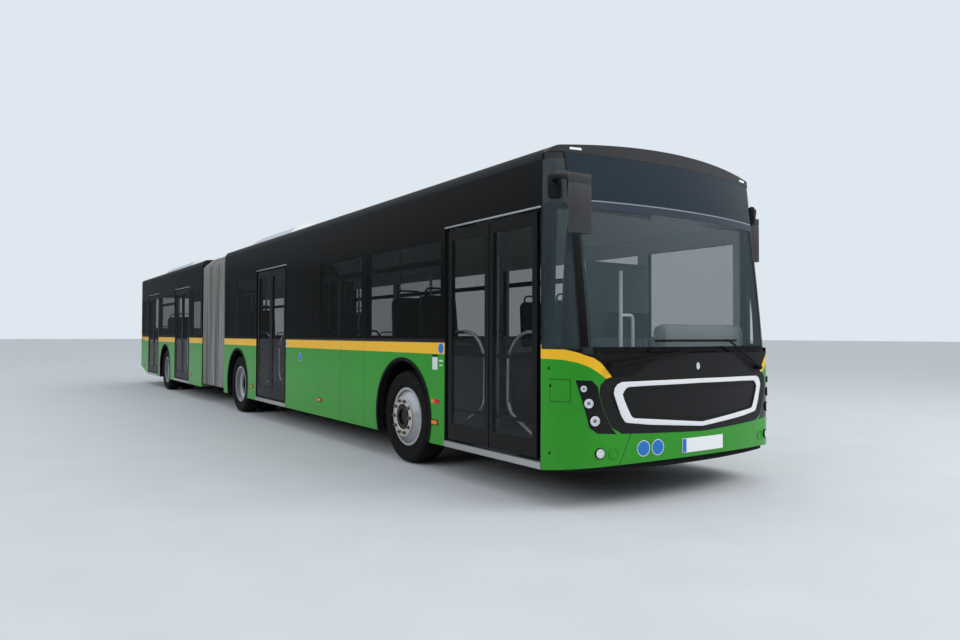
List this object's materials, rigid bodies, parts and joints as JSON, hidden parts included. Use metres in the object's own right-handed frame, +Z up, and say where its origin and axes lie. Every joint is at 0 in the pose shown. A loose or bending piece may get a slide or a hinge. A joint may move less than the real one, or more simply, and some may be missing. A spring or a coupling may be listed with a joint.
{
  "type": "articulated city bus",
  "caption": "Low-floor articulated city bus: two hollow sections joined by bellows on a turntable, with inward-gliding twin-leaf doors, steered front wheels and twin rear wheels.",
  "frame": {"origin": "on the ground under the middle of the whole bus, bottom centre of its box", "axes": "+X forward, +Y to the bus's left, +Z up"},
  "size_m": [18.29, 2.89, 3.05],
  "materials": {
    "green_paint": "gloss",
    "roof_paint": "satin",
    "dark_paint": "satin",
    "black_plastic": "grained",
    "dark_glass": "tinted",
    "clear_glass": "clear",
    "lamp_lens": "clear",
    "red_lens": "clear",
    "unit_white": "satin",
    "frame_steel": "satin",
    "floor_vinyl": "speckled",
    "pole_steel": "satin",
    "seat_plastic": "grained",
    "dash_plastic": "grained",
    "bellows_fabric": "coated",
    "rim_steel": "silver",
    "tyre_rubber": "moulded",
    "engine_iron": "cast"
  },
  "bodies": {
    "front_section": {"front_walls": "green_paint", "front_roof": "roof_paint", "front_floor": "floor_vinyl", "front_mask": "green_paint", "grille": "black_plastic", "front_frame": "dark_paint", "windscreen": "clear_glass", "front_side_glass": "dark_glass", "front_lamps": "lamp_lens", "mirrors": "black_plastic", "wipers": "black_plastic", "front_air_unit": "unit_white", "front_underframe": "frame_steel", "front_axles": "frame_steel", "front_rails": "pole_steel", "front_seats": "seat_plastic", "driver_station": "dash_plastic", "bellows": "bellows_fabric"},
    "rear_section": {"rear_walls": "green_paint", "rear_roof": "roof_paint", "rear_floor": "floor_vinyl", "tail_panel": "green_paint", "rear_glass": "dark_glass", "tail_lamps": "red_lens", "rear_air_unit": "unit_white", "rear_underframe": "frame_steel", "rear_axle": "frame_steel", "rear_rails": "pole_steel", "rear_seats": "seat_plastic", "engine": "engine_iron"},
    "knuckle_left": {"knuckle_left": "frame_steel"},
    "knuckle_right": {"knuckle_right": "frame_steel"},
    "wheel_1_left": {"tyre_1_left": "tyre_rubber", "rim_1_left": "rim_steel"},
    "wheel_1_right": {"tyre_1_right": "tyre_rubber", "rim_1_right": "rim_steel"},
    "wheel_2_left": {"tyre_2_left": "tyre_rubber", "rim_2_left": "rim_steel"},
    "wheel_2_right": {"tyre_2_right": "tyre_rubber", "rim_2_right": "rim_steel"},
    "wheel_3_left": {"tyre_3_left": "tyre_rubber", "rim_3_left": "rim_steel"},
    "wheel_3_right": {"tyre_3_right": "tyre_rubber", "rim_3_right": "rim_steel"},
    "door_1_rear_column": {"door_1_rear_column": "frame_steel"},
    "door_1_rear_leaf": {"door_1_rear_leaf": "dark_paint"},
    "door_1_front_column": {"door_1_front_column": "frame_steel"},
    "door_1_front_leaf": {"door_1_front_leaf": "dark_paint"},
    "door_2_rear_column": {"door_2_rear_column": "frame_steel"},
    "door_2_rear_leaf": {"door_2_rear_leaf": "dark_paint"},
    "door_2_front_column": {"door_2_front_column": "frame_steel"},
    "door_2_front_leaf": {"door_2_front_leaf": "dark_paint"},
    "door_3_rear_column": {"door_3_rear_column": "frame_steel"},
    "door_3_rear_leaf": {"door_3_rear_leaf": "dark_paint"},
    "door_3_front_column": {"door_3_front_column": "frame_steel"},
    "door_3_front_leaf": {"door_3_front_leaf": "dark_paint"},
    "door_4_rear_column": {"door_4_rear_column": "frame_steel"},
    "door_4_rear_leaf": {"door_4_rear_leaf": "dark_paint"},
    "door_4_front_column": {"door_4_front_column": "frame_steel"},
    "door_4_front_leaf": {"door_4_front_leaf": "dark_paint"}
  },
  "joints": [
    {"name": "articulation", "type": "hinge", "parent": "front_section", "child": "rear_section", "pos_m": [-1.365, 0, 0.3], "axis": [0, 0, 1], "range_deg": [-45, 45], "deforming": ["bellows"]},
    {"name": "steer_left", "type": "hinge", "parent": "front_section", "child": "knuckle_left", "pos_m": [6.185, 0.96, 0.478], "axis": [0, 0, 1], "range_deg": [-45, 45]},
    {"name": "steer_right", "type": "hinge", "parent": "front_section", "child": "knuckle_right", "pos_m": [6.185, -0.96, 0.478], "axis": [0, 0, 1], "range_deg": [-45, 45]},
    {"name": "roll_1_left", "type": "hinge", "parent": "knuckle_left", "child": "wheel_1_left", "pos_m": [6.185, 1.1, 0.478], "axis": [0, 1, 0], "continuous": true},
    {"name": "roll_1_right", "type": "hinge", "parent": "knuckle_right", "child": "wheel_1_right", "pos_m": [6.185, -1.1, 0.478], "axis": [0, 1, 0], "continuous": true},
    {"name": "roll_2_left", "type": "hinge", "parent": "front_section", "child": "wheel_2_left", "pos_m": [0.285, 0.9375, 0.478], "axis": [0, 1, 0], "continuous": true},
    {"name": "roll_2_right", "type": "hinge", "parent": "front_section", "child": "wheel_2_right", "pos_m": [0.285, -0.9375, 0.478], "axis": [0, 1, 0], "continuous": true},
    {"name": "roll_3_left", "type": "hinge", "parent": "rear_section", "child": "wheel_3_left", "pos_m": [-5.705, 0.9375, 0.478], "axis": [0, 1, 0], "continuous": true},
    {"name": "roll_3_right", "type": "hinge", "parent": "rear_section", "child": "wheel_3_right", "pos_m": [-5.705, -0.9375, 0.478], "axis": [0, 1, 0], "continuous": true},
    {"name": "door_1_rear_turn", "type": "hinge", "parent": "front_section", "child": "door_1_rear_column", "pos_m": [7.036, -1.193, 1.3], "axis": [0, 0, 1], "range_deg": [0, 80]},
    {"name": "door_1_rear_fold", "type": "hinge", "parent": "door_1_rear_column", "child": "door_1_rear_leaf", "pos_m": [7.36625, -1.193, 1.3], "axis": [0, 0, 1], "range_deg": [-160, 0]},
    {"name": "door_1_front_turn", "type": "hinge", "parent": "front_section", "child": "door_1_front_column", "pos_m": [8.419, -1.193, 1.3], "axis": [0, 0, -1], "range_deg": [0, 80]},
    {"name": "door_1_front_fold", "type": "hinge", "parent": "door_1_front_column", "child": "door_1_front_leaf", "pos_m": [8.08875, -1.193, 1.3], "axis": [0, 0, -1], "range_deg": [-160, 0]},
    {"name": "door_2_rear_turn", "type": "hinge", "parent": "front_section", "child": "door_2_rear_column", "pos_m": [1.326, -1.193, 1.3], "axis": [0, 0, 1], "range_deg": [0, 80]},
    {"name": "door_2_rear_fold", "type": "hinge", "parent": "door_2_rear_column", "child": "door_2_rear_leaf", "pos_m": [1.6425, -1.193, 1.3], "axis": [0, 0, 1], "range_deg": [-160, 0]},
    {"name": "door_2_front_turn", "type": "hinge", "parent": "front_section", "child": "door_2_front_column", "pos_m": [2.654, -1.193, 1.3], "axis": [0, 0, -1], "range_deg": [0, 80]},
    {"name": "door_2_front_fold", "type": "hinge", "parent": "door_2_front_column", "child": "door_2_front_leaf", "pos_m": [2.3375, -1.193, 1.3], "axis": [0, 0, -1], "range_deg": [-160, 0]},
    {"name": "door_3_rear_turn", "type": "hinge", "parent": "rear_section", "child": "door_3_rear_column", "pos_m": [-4.644, -1.193, 1.3], "axis": [0, 0, 1], "range_deg": [0, 80]},
    {"name": "door_3_rear_fold", "type": "hinge", "parent": "door_3_rear_column", "child": "door_3_rear_leaf", "pos_m": [-4.31625, -1.193, 1.3], "axis": [0, 0, 1], "range_deg": [-160, 0]},
    {"name": "door_3_front_turn", "type": "hinge", "parent": "rear_section", "child": "door_3_front_column", "pos_m": [-3.271, -1.193, 1.3], "axis": [0, 0, -1], "range_deg": [0, 80]},
    {"name": "door_3_front_fold", "type": "hinge", "parent": "door_3_front_column", "child": "door_3_front_leaf", "pos_m": [-3.59875, -1.193, 1.3], "axis": [0, 0, -1], "range_deg": [-160, 0]},
    {"name": "door_4_rear_turn", "type": "hinge", "parent": "rear_section", "child": "door_4_rear_column", "pos_m": [-7.824, -1.193, 1.3], "axis": [0, 0, 1], "range_deg": [0, 80]},
    {"name": "door_4_rear_fold", "type": "hinge", "parent": "door_4_rear_column", "child": "door_4_rear_leaf", "pos_m": [-7.5125, -1.193, 1.3], "axis": [0, 0, 1], "range_deg": [-160, 0]},
    {"name": "door_4_front_turn", "type": "hinge", "parent": "rear_section", "child": "door_4_front_column", "pos_m": [-6.516, -1.193, 1.3], "axis": [0, 0, -1], "range_deg": [0, 80]},
    {"name": "door_4_front_fold", "type": "hinge", "parent": "door_4_front_column", "child": "door_4_front_leaf", "pos_m": [-6.8275, -1.193, 1.3], "axis": [0, 0, -1], "range_deg": [-160, 0]}
  ],
  "couplings": [
    {"joint": "steer_right", "follows": "steer_left", "ratio": 1},
    {"joint": "door_1_rear_fold", "follows": "door_1_rear_turn", "ratio": -2},
    {"joint": "door_1_front_fold", "follows": "door_1_front_turn", "ratio": -2},
    {"joint": "door_2_rear_fold", "follows": "door_2_rear_turn", "ratio": -2},
    {"joint": "door_2_front_fold", "follows": "door_2_front_turn", "ratio": -2},
    {"joint": "door_3_rear_fold", "follows": "door_3_rear_turn", "ratio": -2},
    {"joint": "door_3_front_fold", "follows": "door_3_front_turn", "ratio": -2},
    {"joint": "door_4_rear_fold", "follows": "door_4_rear_turn", "ratio": -2},
    {"joint": "door_4_front_fold", "follows": "door_4_front_turn", "ratio": -2}
  ]
}
